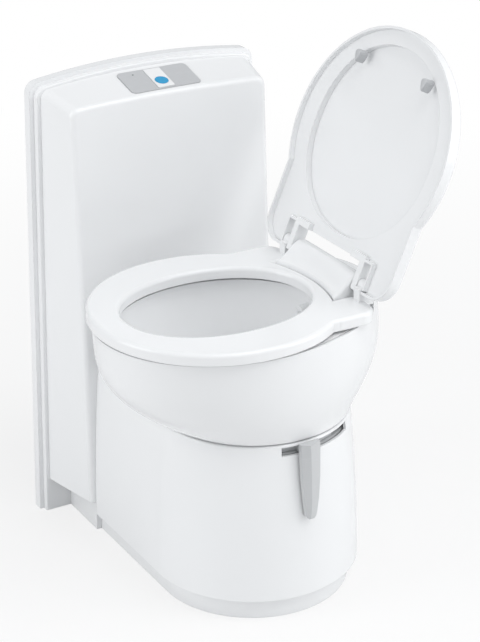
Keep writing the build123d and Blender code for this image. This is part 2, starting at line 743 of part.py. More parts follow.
def lid_outline(height, inset):
    """The lid's plan, all edges moved in by the same inset."""
    with BuildSketch(Plane.XY.offset(height)) as face:
        with BuildLine():
            Spline(
                *egg_points(
                    LID_LONG - LID_CENTRE - inset,
                    LID_CENTRE + LID_LONG - inset,
                    LID_WIDE - inset,
                    LID_CENTRE,
                ),
                periodic=True,
            )
        make_face()
        with Locations(((LID_BACK - inset) / 2, 0)):
            Rectangle(LID_BACK - inset, 2 * (LID_BLOCK_HALF - inset))
        corners = face.vertices().group_by(Axis.X)[-1]
        fillet(corners, radius=40.0 - inset)
    return face.sketch


with BuildPart() as lid_closed:
    extrude(lid_outline(LID_LOW, 0.0), amount=LID_TOP - LID_LOW)
    fillet(lid_closed.edges().group_by(Axis.Z)[-1], radius=8.0)
    extrude(lid_outline(LID_LOW, WALL), amount=LID_SKIRT, mode=Mode.SUBTRACT)
    extrude(
        egg_face(LID_LOW, 213, 85, 152, -58, 2.1),
        amount=LID_TOP - LID_LOW - WALL,
        mode=Mode.SUBTRACT,
    )
    add(
        upright_box((LID_NOTCH_X, 200), (-BLOCK_HALF - 3, BLOCK_HALF + 3), (480, 520)),
        mode=Mode.SUBTRACT,
    )
    for side in (-1, 1):
        spans = sorted((side * 60.0, side * LID_LUG[1]))
        add(upright_box((92, LID_NOTCH_X), spans, (LID_LOW, LID_TOP - WALL)))
        spans = sorted((side * LID_LUG[0], side * LID_LUG[1]))
        add(upright_box((92, HINGE_X + LUG_RADIUS), spans, (LID_LOW, LID_TOP - 1)))
        spans = sorted((side * LID_LUG[1], side * (SEAT_LUG[1] + SLOT_FIT)))
        add(upright_box((100, 200), spans, (470, 530)), mode=Mode.SUBTRACT)
        spans = sorted((side * (SEAT_LUG[1] + SLOT_FIT), side * (SEAT_LUG[1] + 4)))
        add(upright_box((96, LID_BACK - 6), spans, (LID_LOW, LID_TOP - WALL)))
        spans = sorted((side * LID_LUG[0], side * (SEAT_LUG[1] + 4)))
        add(upright_box((96, 100), spans, (LID_LOW, LID_TOP - WALL)))
    add(rod((HINGE_X, -110, HINGE_Z), (0, 1, 0), PIN_RADIUS + RUNNING, 220), mode=Mode.SUBTRACT)

BUMPER_LONG = 22.0
with BuildPart() as lid_bumpers_closed:
    for side in (-1, 1):
        with BuildSketch(Plane.XY.offset(SEAT_TOP + FIT)):
            with Locations((-176, side * 87)):
                Rectangle(12.0, BUMPER_LONG)
        extrude(amount=LID_LOW + LID_SKIRT - SEAT_TOP - FIT)

HINGE_LINE = Axis((HINGE_X, 0, HINGE_Z), (0, 1, 0))
with BuildPart() as lid_shell:
    add(lid_closed.part.rotate(HINGE_LINE, LID_OPEN_ANGLE))
finish(lid_shell, "lid_shell")

with BuildPart() as lid_bumpers:
    add(lid_bumpers_closed.part.rotate(HINGE_LINE, LID_OPEN_ANGLE))
finish(lid_bumpers, "lid_bumpers")

# Valve lever: grey paddle outside the pedestal, on a sliding ring under the deck
TRACK_DROP = 17.0
TRACK_LOW = DECK_LOW - TRACK_DROP
TRACK_THICK = 4.0
RING_LOW = TRACK_LOW + TRACK_THICK + FIT
RING_TALL = 8.7
RING_HIGH = RING_LOW + RING_TALL
TRACK_INNER = 124.0
TRACK_OUTER = 147.0
RING_INNER = 119.0
RING_OUTER = 142.0
LEG_OUTER = TRACK_INNER - FIT
PADDLE_LOW = 172.0
PADDLE_HIGH = 297.0
with BuildPart() as paddle_stock:
    with BuildSketch(Plane.XY.offset(PADDLE_LOW - 2)):
        Circle(173.0)
    with BuildSketch(Plane.XY.offset(PADDLE_HIGH)):
        Circle(165.0)
    loft()
    with BuildSketch(Plane.XY.offset(PADDLE_LOW - 2)):
        Circle(165.5)
    with BuildSketch(Plane.XY.offset(PADDLE_HIGH)):
        Circle(155.0)
    loft(mode=Mode.SUBTRACT)

with BuildPart() as valve_lever:
    with BuildSketch(Plane.XZ):
        with BuildLine():
            Polyline((-17, PADDLE_HIGH), (-16, 240), (-12, 205), (-7, PADDLE_LOW + 8))
            ThreePointArc((-7, PADDLE_LOW + 8), (3, PADDLE_LOW), (13, PADDLE_LOW + 8))
            Polyline((13, PADDLE_LOW + 8), (20, 205), (24, 240), (25, PADDLE_HIGH), (-17, PADDLE_HIGH))
        make_face()
    extrude(amount=200)
    add(paddle_stock.part, mode=Mode.INTERSECT)
    extrude(ring_part(RING_LOW, RING_INNER, RING_OUTER, -24, 27), amount=RING_HIGH - RING_LOW)
    extrude(ring_part(RING_LOW, RING_OUTER - 1, 159, -3, 6), amount=RING_HIGH - RING_LOW)
    extrude(
        ring_part(GEAR_LOW, RING_INNER, LEG_OUTER, -22, 5),
        amount=RING_HIGH - GEAR_LOW,
    )
finish(valve_lever, "valve_lever")

# Lever track: fixed ledge that carries the sliding ring, hung from the deck
with BuildPart() as lever_track:
    extrude(ring_part(TRACK_LOW, TRACK_INNER, TRACK_OUTER, -64, 64), amount=TRACK_THICK)
    for start in (-64, 59):
        extrude(
            ring_part(TRACK_LOW, TRACK_INNER, TRACK_OUTER, start, start + 5),
            amount=DECK_LOW - TRACK_LOW,
        )
finish(lever_track, "lever_track")

# Toothed sector on the lever leg; its inner teeth drive the blade pinion
TOOTH_PITCH = math.pi * MODULE
TOOTH_OUT = 0.9 * MODULE
TOOTH_IN = 1.15 * MODULE
TIP_HALF = 0.10 * TOOTH_PITCH
ROOT_HALF = 0.27 * TOOTH_PITCH


def tooth_face(height, centre, angle, base, tip):
    """One tooth as a trapezium that stands on radius base and ends at tip."""
    turn = math.radians(angle - 90)
    along = (math.cos(turn), math.sin(turn))
    across = (-along[1], along[0])
    corners = [
        (
            centre[0] + along[0] * reach + across[0] * half,
            centre[1] + along[1] * reach + across[1] * half,
        )
        for reach, half in (
            (base, -ROOT_HALF),
            (tip, -TIP_HALF),
            (tip, TIP_HALF),
            (base, ROOT_HALF),
        )
    ]
    with BuildSketch(Plane.XY.offset(height)) as face:
        with BuildLine():
            Polyline(*corners, close=True)
        make_face()
    return face.sketch


SECTOR_ROOT = SECTOR_PITCH_RADIUS + TOOTH_IN
with BuildPart() as lever_sector:
    extrude(ring_part(GEAR_LOW, SECTOR_ROOT, RING_INNER, -37, 8), amount=GEAR_HIGH - GEAR_LOW)
    for tooth in range(-6, 2):
        extrude(
            tooth_face(
                GEAR_LOW,
                (0, 0),
                (tooth + 0.5) * 360 / SECTOR_TEETH - 0.0,
                SECTOR_ROOT + 0.5,
                SECTOR_PITCH_RADIUS - TOOTH_OUT,
            ),
            amount=GEAR_HIGH - GEAR_LOW,
        )
finish(lever_sector, "lever_sector")

# Blade pinion: toothed quarter wheel on top of the blade shaft
PINION_ROOT = PINION_PITCH_RADIUS - TOOTH_IN
PIVOT_AT = (0.0, -BLADE_PIVOT)
SHAFT_RADIUS = 5.0
with BuildPart() as blade_pinion:
    with BuildSketch(Plane.XY.offset(GEAR_LOW)):
        with BuildLine():
            CenterArc(PIVOT_AT, PINION_ROOT, -90 - 104, 124)
            Line(
                (
                    PIVOT_AT[0] + PINION_ROOT * math.cos(math.radians(-194)),
                    PIVOT_AT[1] + PINION_ROOT * math.sin(math.radians(-194)),
                ),
                PIVOT_AT,
            )
            Line(
                PIVOT_AT,
                (
                    PIVOT_AT[0] + PINION_ROOT * math.cos(math.radians(-70)),
                    PIVOT_AT[1] + PINION_ROOT * math.sin(math.radians(-70)),
                ),
            )
        make_face()
        with Locations(PIVOT_AT):
            Circle(11.0)
    extrude(amount=GEAR_HIGH - GEAR_LOW)
    for tooth in range(-5, 2):
        extrude(
            tooth_face(
                GEAR_LOW,
                PIVOT_AT,
                tooth * 360 / PINION_TEETH,
                PINION_ROOT - 0.5,
                PINION_PITCH_RADIUS + TOOTH_OUT,
            ),
            amount=GEAR_HIGH - GEAR_LOW,
        )
    with BuildSketch(Plane.XY.offset(GEAR_LOW)):
        with Locations(PIVOT_AT):
            Circle(SHAFT_RADIUS)
    extrude(amount=GEAR_HIGH - GEAR_LOW, mode=Mode.SUBTRACT)
finish(blade_pinion, "blade_pinion")

# Blade shaft and the round valve blade that closes the tank mouth
BLADE_LOW = 212.0
BLADE_THICK = 4.0
HOUSING_TOP = 228.0
with BuildPart() as blade_shaft:
    with BuildSketch(Plane.XY.offset(BLADE_LOW - 1.5)):
        with Locations(PIVOT_AT):
            Circle(SHAFT_RADIUS)
    extrude(amount=GEAR_HIGH - BLADE_LOW + 1.5)
finish(blade_shaft, "blade_shaft")

with BuildPart() as valve_blade:
    with BuildSketch(Plane.XY.offset(BLADE_LOW)):
        Circle(BLADE_RADIUS)
        with Locations((0, -BLADE_PIVOT / 2)):
            Rectangle(20, BLADE_PIVOT)
        with Locations(PIVOT_AT):
            Circle(12.0)
        with Locations(PIVOT_AT):
            Circle(SHAFT_RADIUS, mode=Mode.SUBTRACT)
    extrude(amount=BLADE_THICK)
finish(valve_blade, "valve_blade")

# Blade housing: flat box on the tank top in which the blade swings aside
OPEN_TURN = 28.0 * SECTOR_TEETH / PINION_TEETH
BLADE_STEPS = 8


def housing_plan(height, grow):
    """Outline round the blade all along its swing."""
    with BuildSketch(Plane.XY.offset(height)) as face:
        for step in range(BLADE_STEPS + 1):
            turn = math.radians(OPEN_TURN * step / BLADE_STEPS)
            swung = (-BLADE_PIVOT * math.sin(turn), BLADE_PIVOT * (math.cos(turn) - 1))
            with Locations(swung):
                Circle(BLADE_RADIUS + grow)
        with Locations(PIVOT_AT):
            Circle(13.0 + grow)
        make_hull()
    return face.sketch


with BuildPart() as blade_housing:
    extrude(housing_plan(TANK_TOP, 5.0), amount=HOUSING_TOP - TANK_TOP)
    extrude(housing_plan(TANK_TOP + 2, 2.0), amount=HOUSING_TOP - TANK_TOP - 5, mode=Mode.SUBTRACT)
    with BuildSketch(Plane.XY.offset(TANK_TOP - 1)):
        Circle(OUTLET_RADIUS)
    extrude(amount=40, mode=Mode.SUBTRACT)
    with BuildSketch(Plane.XY.offset(HOUSING_TOP - 1)):
        Circle(BLADE_RADIUS)
    extrude(amount=2, mode=Mode.SUBTRACT)
    with BuildSketch(Plane.XY.offset(TANK_TOP + 2.0)):
        with Locations(PIVOT_AT):
            Circle(9.0)
    extrude(amount=2.0)
    with BuildSketch(Plane.XY.offset(TANK_TOP + 3.0)):
        with Locations(PIVOT_AT):
            Circle(SHAFT_RADIUS + RUNNING)
    extrude(amount=40, mode=Mode.SUBTRACT)
finish(blade_housing, "blade_housing")

# Lip seal round the tank mouth, just under the outlet of the bowl
with BuildPart() as lip_seal:
    with BuildSketch(Plane.XY.offset(HOUSING_TOP - 1)):
        Circle(BLADE_RADIUS)
        Circle(OUTLET_RADIUS, mode=Mode.SUBTRACT)
    extrude(amount=1.8)
finish(lip_seal, "lip_seal")

# Sliding cover: plate that runs forward over the mouth when the tank is out
COVER_TRAVEL = 104.0
with BuildPart() as sliding_cover:
    with BuildSketch(Plane.XY.offset(HOUSING_TOP + 1.3)):
        with Locations((0, COVER_TRAVEL)):
            Circle(OUTLET_RADIUS + 6)
        with Locations((0, COVER_TRAVEL + 33)):
            Rectangle(2 * (OUTLET_RADIUS + 6), 66)
    extrude(amount=3.0)
finish(sliding_cover, "sliding_cover")

# Cover guides: two rails on the tank top that the cover runs in
with BuildPart() as cover_guides:
    for side in (-1, 1):
        add(upright_box(sorted((side * 45.2, side * 49.0)), (58, 176), (TANK_TOP, 233.6)))
        add(upright_box(sorted((side * 38.0, side * 45.2)), (58, 176), (TANK_TOP, HOUSING_TOP + 1)))
finish(cover_guides, "cover_guides")

# Waste tank: hollow moulding with a round front and a lowered back for the spout
WHEEL_Y = -50.0
WHEEL_Z = 34.6
WHEEL_RADIUS = 19.0
WHEEL_WIDE = 18.0
WHEEL_BAY_X = 99.0
WHEEL_BAY_HALF = 24.0
WHEEL_BAY_TOP = 60.0
WHEEL_BAY_CEILING = 62.0
WHEEL_INNER_X = 104.0
AXLE_INNER_X = 93.0
PLUNGER_AT = (86.0, 150.0)
PLUNGER_STEM = 4.0
SPOUT_PORT_RADIUS = 22.0
HANDLE_Y = 323.0
HANDLE_Z = 100.0
HANDLE_PIN_RADIUS = 3.0
HANDLE_PIN_LONG = 22.0
HANDLE_LUG_HALF = 50.0
HANDLE_LUG_TALL = 16.0


def tank_plan(height, inset, back):
    """The tank's plan: straight sides and a round front."""
    with BuildSketch(Plane.XY.offset(height)) as face:
        Circle(TANK_FRONT_RADIUS - inset)
        with Locations((0, (back - inset) / 2)):
            Rectangle(2 * (TANK_FRONT_RADIUS - inset), back - inset)
        with Locations((0, 100)):
            Rectangle(2 * (TANK_HALF - inset), 600, mode=Mode.INTERSECT)
    return face.sketch


with BuildPart() as waste_tank:
    extrude(tank_plan(TANK_LOW, 0, TANK_BACK_Y), amount=TANK_STEP_TOP - TANK_LOW)
    extrude(tank_plan(TANK_LOW, 0, TANK_STEP_Y), amount=TANK_TOP - TANK_LOW)
    for side in (-1, 1):
        add(
            upright_box(
                sorted((side * WHEEL_BAY_X, side * 2 * WHEEL_BAY_X)),
                (WHEEL_Y - WHEEL_BAY_HALF, WHEEL_Y + WHEEL_BAY_HALF),
                (0, WHEEL_BAY_TOP),
            ),
            mode=Mode.SUBTRACT,
        )
    extrude(
        tank_plan(WHEEL_BAY_CEILING, TANK_WALL, TANK_STEP_Y),
        amount=TANK_TOP - TANK_WALL - WHEEL_BAY_CEILING,
        mode=Mode.SUBTRACT,
    )
    with BuildSketch(Plane.XY.offset(TANK_LOW + TANK_WALL)):
        Rectangle(2 * (WHEEL_BAY_X - 4.0), 3 * TANK_BACK_Y)
        with Locations((0, WHEEL_Y + WHEEL_BAY_HALF + TANK_WALL)):
            Rectangle(
                2 * (TANK_HALF - TANK_WALL), TANK_BACK_Y + 100, align=(Align.CENTER, Align.MIN)
            )
        add(tank_plan(TANK_LOW + TANK_WALL, TANK_WALL, TANK_BACK_Y), mode=Mode.INTERSECT)
    extrude(amount=TANK_STEP_TOP - TANK_LOW - 2 * TANK_WALL, mode=Mode.SUBTRACT)
    with BuildSketch(Plane.XY.offset(TANK_TOP - 5)):
        Circle(OUTLET_RADIUS)
        with Locations(PLUNGER_AT):
            Circle(PLUNGER_STEM + FIT)
    extrude(amount=10, mode=Mode.SUBTRACT)
    with BuildSketch(Plane.XY.offset(TANK_STEP_TOP - 6)):
        with Locations((SPOUT_X, SPOUT_Y)):
            Circle(SPOUT_PORT_RADIUS)
    extrude(amount=10, mode=Mode.SUBTRACT)
    add(
        upright_box(
            (-HANDLE_LUG_HALF, HANDLE_LUG_HALF),
            (TANK_BACK_Y, HANDLE_Y + 5.0),
            (HANDLE_Z - HANDLE_LUG_TALL / 2, HANDLE_Z + HANDLE_LUG_TALL / 2),
        )
    )
    for side in (-1, 1):
        add(
            rod(
                (side * (HANDLE_LUG_HALF + 10), HANDLE_Y, HANDLE_Z),
                (-side, 0, 0),
                HANDLE_PIN_RADIUS + RUNNING,
                HANDLE_PIN_LONG,
            ),
            mode=Mode.SUBTRACT,
        )
        add(
            rod((side * AXLE_INNER_X, WHEEL_Y, WHEEL_Z), (side, 0, 0), PIN_RADIUS, 10),
            mode=Mode.SUBTRACT,
        )
finish(waste_tank, "waste_tank")

# Wheel axles and wheels at the inner end of the tank
AXLE_LONG = 32.0
AXLE_HEAD_RADIUS = 7.0
AXLE_HEAD_X = WHEEL_INNER_X + WHEEL_WIDE + 0.4
with BuildPart() as wheel_axles:
    for side in (-1, 1):
        add(rod((side * AXLE_INNER_X, WHEEL_Y, WHEEL_Z), (side, 0, 0), PIN_RADIUS, AXLE_LONG))
        add(
            rod(
                (side * AXLE_HEAD_X, WHEEL_Y, WHEEL_Z),
                (side, 0, 0),
                AXLE_HEAD_RADIUS,
                AXLE_INNER_X + AXLE_LONG - AXLE_HEAD_X,
            )
        )
finish(wheel_axles, "wheel_axles")

RIM_RECESS = 5.0
for side, name in ((-1, "wheel_left"), (1, "wheel_right")):
    outward = (side, 0, 0)
    inner_face = (side * WHEEL_INNER_X, WHEEL_Y, WHEEL_Z)
    recess_face = (side * (WHEEL_INNER_X + WHEEL_WIDE - RIM_RECESS), WHEEL_Y, WHEEL_Z)
    with BuildPart() as wheel:
        add(rod(inner_face, outward, WHEEL_RADIUS, WHEEL_WIDE))
        add(rod(recess_face, outward, WHEEL_RADIUS - 5.0, RIM_RECESS), mode=Mode.SUBTRACT)
        add(rod(recess_face, outward, AXLE_HEAD_RADIUS, RIM_RECESS))
        add(rod(inner_face, outward, PIN_RADIUS + RUNNING, WHEEL_WIDE), mode=Mode.SUBTRACT)
    finish(wheel, name)

# Tank rails: two runners on the floor that carry the tank
with BuildPart() as tank_rails:
    for side in (-1, 1):
        add(upright_box(sorted((side * 78.0, side * 92.0)), (-100, 327.7), (0, TANK_LOW - FIT)))
finish(tank_rails, "tank_rails")

# Pour spout: elbow on the lowered back of the tank that swings out to empty it
SPOUT_RADIUS = 25.0
SPOUT_WALL = 3.0
SPOUT_AXIS_Z = 194.0
SPOUT_END_X = 58.0
COLLAR_RADIUS = 31.0
COLLAR_TALL = 6.0
SPOUT_LOW = TANK_STEP_TOP + COLLAR_TALL + FIT
ELBOW_AT = (SPOUT_X, SPOUT_Y, SPOUT_AXIS_Z)
with BuildPart() as spout_collar:
    with BuildSketch(Plane.XY.offset(TANK_STEP_TOP)):
        with Locations((SPOUT_X, SPOUT_Y)):
            Circle(COLLAR_RADIUS)
            Circle(SPOUT_PORT_RADIUS, mode=Mode.SUBTRACT)
    extrude(amount=COLLAR_TALL)
finish(spout_collar, "spout_collar")

spout_bore = SPOUT_RADIUS - SPOUT_WALL
with BuildPart() as pour_spout:
    add(rod((SPOUT_X, SPOUT_Y, SPOUT_LOW), (0, 0, 1), SPOUT_RADIUS, SPOUT_AXIS_Z - SPOUT_LOW))
    add(Pos(*ELBOW_AT) * Sphere(SPOUT_RADIUS, mode=Mode.PRIVATE))
    add(rod(ELBOW_AT, (1, 0, 0), SPOUT_RADIUS, SPOUT_END_X - SPOUT_X))
    add(
        rod((SPOUT_X, SPOUT_Y, SPOUT_LOW - 1), (0, 0, 1), spout_bore, SPOUT_AXIS_Z - SPOUT_LOW + 1),
        mode=Mode.SUBTRACT,
    )
    add(Pos(*ELBOW_AT) * Sphere(spout_bore, mode=Mode.PRIVATE), mode=Mode.SUBTRACT)
    add(
        rod(ELBOW_AT, (1, 0, 0), spout_bore, SPOUT_END_X - SPOUT_X + 1),
        mode=Mode.SUBTRACT,
    )
finish(pour_spout, "pour_spout")

CAP_OVERLAP = 14.0
CAP_WALL = 4.0
CAP_RADIUS = SPOUT_RADIUS + CAP_WALL
CAP_LONG = CAP_OVERLAP + FIT + CAP_WALL + 0.2
CAP_GROOVES = 16
CAP_LOW_X = SPOUT_END_X - CAP_OVERLAP
with BuildPart() as spout_cap:
    add(rod((CAP_LOW_X, SPOUT_Y, SPOUT_AXIS_Z), (1, 0, 0), CAP_RADIUS, CAP_LONG))
    add(
        rod(
            (CAP_LOW_X - 1, SPOUT_Y, SPOUT_AXIS_Z),
            (1, 0, 0),
            SPOUT_RADIUS + RUNNING,
            CAP_OVERLAP + 1 + FIT,
        ),
        mode=Mode.SUBTRACT,
    )
    for groove in range(CAP_GROOVES):
        angle = 2 * math.pi * groove / CAP_GROOVES
        groove_y = SPOUT_Y + (CAP_RADIUS + 0.6) * math.cos(angle)
        groove_z = SPOUT_AXIS_Z + (CAP_RADIUS + 0.6) * math.sin(angle)
        add(rod((CAP_LOW_X, groove_y, groove_z), (1, 0, 0), 2.0, CAP_LONG), mode=Mode.SUBTRACT)
finish(spout_cap, "spout_cap")

# Vent plunger: pressed to let air into the tank while it is emptied
PLUNGER_TRAVEL = 6.0
PLUNGER_HEAD = 11.0
PLUNGER_HEAD_TALL = 7.0
PLUNGER_PLATE = 8.0
PLUNGER_DROP = 14.0
with BuildPart() as vent_plunger:
    with BuildSketch(Plane.XY.offset(TANK_TOP + PLUNGER_TRAVEL + FIT)):
        with Locations(PLUNGER_AT):
            Circle(PLUNGER_HEAD)
    extrude(amount=PLUNGER_HEAD_TALL)
    with BuildSketch(Plane.XY.offset(TANK_TOP - PLUNGER_DROP)):
        with Locations(PLUNGER_AT):
            Circle(PLUNGER_STEM)
    extrude(amount=PLUNGER_DROP + PLUNGER_TRAVEL + FIT)
    with BuildSketch(Plane.XY.offset(TANK_TOP - PLUNGER_DROP)):
        with Locations(PLUNGER_AT):
            Circle(PLUNGER_PLATE)
    extrude(amount=PLUNGER_DROP - TANK_WALL - FIT)
finish(vent_plunger, "vent_plunger")

# Level float: light block on an arm that hangs in the tank and rises with the waste
FLOAT_X = 52.0
FLOAT_Y = 30.0
FLOAT_Z = 190.0
FLOAT_HALF = 18.0
FLOAT_THICK = 22.0
FLOAT_LONG = 42.0
FLOAT_PIN_RADIUS = 2.5
ARM_HALF = 4.5
ARM_LONG = 88.0
BRACKET_WALL = 4.0
BRACKET_DEEP = 12.0
BRACKET_SIDE = ARM_HALF + 1.0
with BuildPart() as float_bracket:
    for side in (-1, 1):
        spans = sorted((FLOAT_X + side * BRACKET_SIDE, FLOAT_X + side * (BRACKET_SIDE + BRACKET_WALL)))
        add(
            upright_box(
                spans,
                (FLOAT_Y - BRACKET_DEEP / 2, FLOAT_Y + BRACKET_DEEP / 2),
                (FLOAT_Z - BRACKET_DEEP / 2, TANK_TOP - TANK_WALL),
            )
        )
    add(
        rod(
            (FLOAT_X - BRACKET_SIDE - BRACKET_WALL, FLOAT_Y, FLOAT_Z),
            (1, 0, 0),
            FLOAT_PIN_RADIUS,
            2 * (BRACKET_SIDE + BRACKET_WALL),
        )
    )
finish(float_bracket, "float_bracket")

with BuildPart() as level_float:
    add(
        upright_box(
            (FLOAT_X - ARM_HALF, FLOAT_X + ARM_HALF),
            (FLOAT_Y - ARM_HALF, FLOAT_Y + ARM_HALF),
            (FLOAT_Z - ARM_LONG, FLOAT_Z + ARM_HALF),
        )
    )
    add(
        upright_box(
            (FLOAT_X - FLOAT_HALF, FLOAT_X + FLOAT_HALF),
            (FLOAT_Y - FLOAT_THICK / 2, FLOAT_Y + FLOAT_THICK / 2),
            (FLOAT_Z - ARM_LONG - FLOAT_LONG, FLOAT_Z - ARM_LONG),
        )
    )
    fillet(level_float.edges().filter_by(Axis.Z), radius=1.5)
    add(
        rod(
            (FLOAT_X - ARM_HALF - 1, FLOAT_Y, FLOAT_Z),
            (1, 0, 0),
            FLOAT_PIN_RADIUS + RUNNING,
            2 * ARM_HALF + 2,
        ),
        mode=Mode.SUBTRACT,
    )
finish(level_float, "level_float")

# Tank handle: bail on the back of the tank, folded down at rest
HANDLE_ARM_HALF = 60.0
HANDLE_FRONT_Y = TANK_BACK_Y + 0.5
HANDLE_BACK_Y = HANDLE_Y + 4.5
HANDLE_GRIP_LOW = 44.0
HANDLE_GRIP_TOP = 62.0
HANDLE_GRIP_BACK_Y = 330.0
with BuildPart() as tank_handle:
    for side in (-1, 1):
        add(
            upright_box(
                sorted((side * (HANDLE_LUG_HALF + 0.6), side * HANDLE_ARM_HALF)),
                (HANDLE_FRONT_Y, HANDLE_BACK_Y),
                (HANDLE_GRIP_LOW + 6, HANDLE_Z),
            )
        )
        add(
            rod(
                (side * (HANDLE_LUG_HALF + 0.6), HANDLE_Y, HANDLE_Z),
                (side, 0, 0),
                HANDLE_BACK_Y - HANDLE_Y,
                HANDLE_ARM_HALF - HANDLE_LUG_HALF - 0.6,
            )
        )
    add(
        upright_box(
            (-HANDLE_ARM_HALF, HANDLE_ARM_HALF),
            (HANDLE_FRONT_Y, HANDLE_GRIP_BACK_Y),
            (HANDLE_GRIP_LOW, HANDLE_GRIP_TOP),
        )
    )
    fillet(tank_handle.edges().filter_by(Axis.X).group_by(Axis.Z)[0], radius=2.5)
    add(
        rod(
            (-HANDLE_ARM_HALF - 2, HANDLE_Y, HANDLE_Z),
            (1, 0, 0),
            HANDLE_PIN_RADIUS,
            2 * HANDLE_ARM_HALF + 4,
        ),
        mode=Mode.SUBTRACT,
    )
finish(tank_handle, "tank_handle")

with BuildPart() as handle_pins:
    for side in (-1, 1):
        add(
            rod(
                (side * (HANDLE_ARM_HALF - HANDLE_PIN_LONG + 1), HANDLE_Y, HANDLE_Z),
                (side, 0, 0),
                HANDLE_PIN_RADIUS,
                HANDLE_PIN_LONG - 1,
            )
        )
finish(handle_pins, "handle_pins")
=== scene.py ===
import json
import math

import bmesh
import bpy
import numpy as np
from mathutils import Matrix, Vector


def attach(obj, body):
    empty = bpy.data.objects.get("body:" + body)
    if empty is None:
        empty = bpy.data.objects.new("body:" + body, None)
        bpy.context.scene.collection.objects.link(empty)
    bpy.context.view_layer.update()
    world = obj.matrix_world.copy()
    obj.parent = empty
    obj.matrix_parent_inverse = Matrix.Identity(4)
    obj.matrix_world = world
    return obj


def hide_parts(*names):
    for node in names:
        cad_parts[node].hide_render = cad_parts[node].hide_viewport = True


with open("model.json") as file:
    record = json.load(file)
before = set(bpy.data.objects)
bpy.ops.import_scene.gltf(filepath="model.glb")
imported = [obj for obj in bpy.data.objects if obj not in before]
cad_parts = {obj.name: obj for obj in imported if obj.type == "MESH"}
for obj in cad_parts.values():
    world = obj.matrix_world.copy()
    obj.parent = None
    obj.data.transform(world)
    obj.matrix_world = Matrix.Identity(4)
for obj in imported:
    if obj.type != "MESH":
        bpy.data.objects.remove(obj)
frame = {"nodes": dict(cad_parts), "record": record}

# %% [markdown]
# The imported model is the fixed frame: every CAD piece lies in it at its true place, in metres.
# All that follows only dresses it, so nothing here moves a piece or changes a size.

MM = 0.001
nodes = frame["nodes"]
scene = bpy.context.scene
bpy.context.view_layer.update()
print("pieces in the frame:", len(nodes))

# %% [markdown]
# The camera comes first, because everything after it is judged through it.
# The photograph was taken from in front, a little to the left and above, with a long lens.
# Its place was found by fitting the console's straight edges and the oval of the seat.
# An angle could be guessed by eye, but a fitted camera makes every outline comparable.

# %% Camera at the photograph's angle
PHOTO_TALL = 642
FOCAL_PIXELS = 2000.0
SENSOR = 36.0
CAMERA_AT = np.array([-1.4173, -2.3775, 1.6874])
LOOK_AT = np.array([-0.0173, 0.0070, 0.4333])

camera_data = bpy.data.cameras.new("camera")
camera_data.sensor_width = SENSOR
camera_data.lens = FOCAL_PIXELS / PHOTO_TALL * SENSOR
camera_data.clip_end = 50.0
camera = bpy.data.objects.new("camera", camera_data)
scene.collection.objects.link(camera)


def aim(thing, place, target):
    """Puts a lamp or camera at a place with its -Z axis towards the target."""
    thing.location = Vector(place)
    thing.rotation_euler = (Vector(target) - Vector(place)).to_track_quat("-Z", "Y").to_euler()


aim(camera, CAMERA_AT, LOOK_AT)
scene.camera = camera
print("lens in mm:", round(camera_data.lens, 1))

# %% [markdown]
# The light is that of a product photograph: a wide soft lamp on each side and one above.
# The two sides of the pedestal are bright and the part that faces the camera is darker.
# So two lamps stand well to the sides, and the upper one leans forward into the basin.
# The world adds an even fill. To the camera it looks white, which adds no light to the object.

# %% World, floor and lamps
FILL = 0.57
LAMP_TARGET = (0.0, 0.05, 0.4)
LAMPS = {
    "lamp_left": ((-3.4, 0.6, 1.9), (2.2, 3.0), 46.0),
    "lamp_right": ((2.9, -2.4, 1.6), (2.0, 2.8), 39.0),
    "lamp_top": ((0.7, -1.5, 3.2), (2.4, 2.4), 42.0),
}
world = bpy.data.worlds.new("studio")
scene.world = world
world.use_nodes = True
tree = world.node_tree
tree.nodes.clear()
path = tree.nodes.new("ShaderNodeLightPath")
seen = tree.nodes.new("ShaderNodeMath")
seen.operation = "MAXIMUM"
tree.links.new(path.outputs["Is Camera Ray"], seen.inputs[0])
tree.links.new(path.outputs["Is Transmission Ray"], seen.inputs[1])
fill = tree.nodes.new("ShaderNodeBackground")
fill.inputs["Color"].default_value = (0.96, 0.98, 1.0, 1)
fill.inputs["Strength"].default_value = FILL
white = tree.nodes.new("ShaderNodeBackground")
white.inputs["Color"].default_value = (1, 1, 1, 1)
white.inputs["Strength"].default_value = 1.0
either = tree.nodes.new("ShaderNodeMixShader")
world_out = tree.nodes.new("ShaderNodeOutputWorld")
tree.links.new(seen.outputs[0], either.inputs["Fac"])
tree.links.new(fill.outputs[0], either.inputs[1])
tree.links.new(white.outputs[0], either.inputs[2])
tree.links.new(either.outputs[0], world_out.inputs["Surface"])

for name, (place, size, power) in LAMPS.items():
    lamp = bpy.data.lights.new(name, "AREA")
    lamp.shape = "RECTANGLE"
    lamp.size = size[0]
    lamp.size_y = size[1]
    lamp.energy = power
    lamp_object = bpy.data.objects.new(name, lamp)
    scene.collection.objects.link(lamp_object)
    aim(lamp_object, place, LAMP_TARGET)
print("lamps:", len(LAMPS))

# %% [markdown]
# A material in Blender is a graph of nodes, and long graphs are hard to read as code.
# A small class wraps one socket, so that sums and products can be written as plain maths.
# Each expression adds the Math nodes it needs, and any other node comes from one method.

